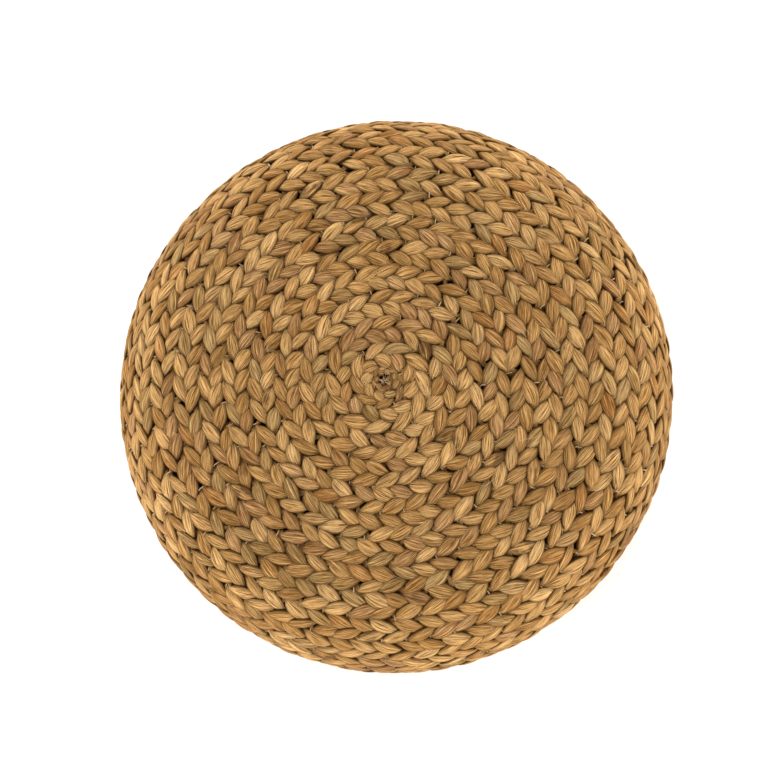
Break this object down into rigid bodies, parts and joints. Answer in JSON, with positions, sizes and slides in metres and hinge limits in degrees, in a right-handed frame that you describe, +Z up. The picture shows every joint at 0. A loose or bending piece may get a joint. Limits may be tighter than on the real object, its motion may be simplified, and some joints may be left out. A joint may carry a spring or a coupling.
{
  "type": "chair seat pad",
  "caption": "Round, thick seat pad whose cover is a natural-fibre plait coiled in a spiral, with a soft filling of wadding and foam.",
  "frame": {"origin": "centre of the flat base, where the pad rests on a seat or a floor", "axes": "+Z up through the thickness, from the base to the top centre; X and Y lie in the base and the coil grows clockwise seen from above"},
  "size_m": [0.3995, 0.3998, 0.12],
  "materials": {
    "hyacinth_top": "matt dried plant fibre, plaited, golden tan with streaks",
    "hyacinth_base": "matt dried plant fibre, plaited, a little duller",
    "sewing_thread": "pale twisted thread, matt",
    "fibre_knot": "matt tied fibre ends",
    "liner_cloth": "dark non-woven cloth, matt",
    "liner_thread": "dark sewing thread, matt",
    "wadding": "white polyester wadding, matt",
    "soft_foam": "soft open-cell foam, pale yellow, matt",
    "firm_foam": "firm open-cell foam, grey, matt"
  },
  "bodies": {
    "root": {"top_plait_coil": "hyacinth_top", "base_plait_coil": "hyacinth_base", "top_coil_stitching": "sewing_thread", "base_coil_stitching": "sewing_thread", "closing_seam_thread": "sewing_thread", "top_centre_knot": "fibre_knot", "base_centre_knot": "fibre_knot", "liner_top_panel": "liner_cloth", "liner_side_band": "liner_cloth", "liner_base_panel": "liner_cloth", "liner_top_seam": "liner_thread", "liner_base_seam": "liner_thread", "wadding_top": "wadding", "wadding_side": "wadding", "wadding_base": "wadding", "comfort_foam": "soft_foam", "firm_foam_slab": "firm_foam"}
  },
  "joints": []
}
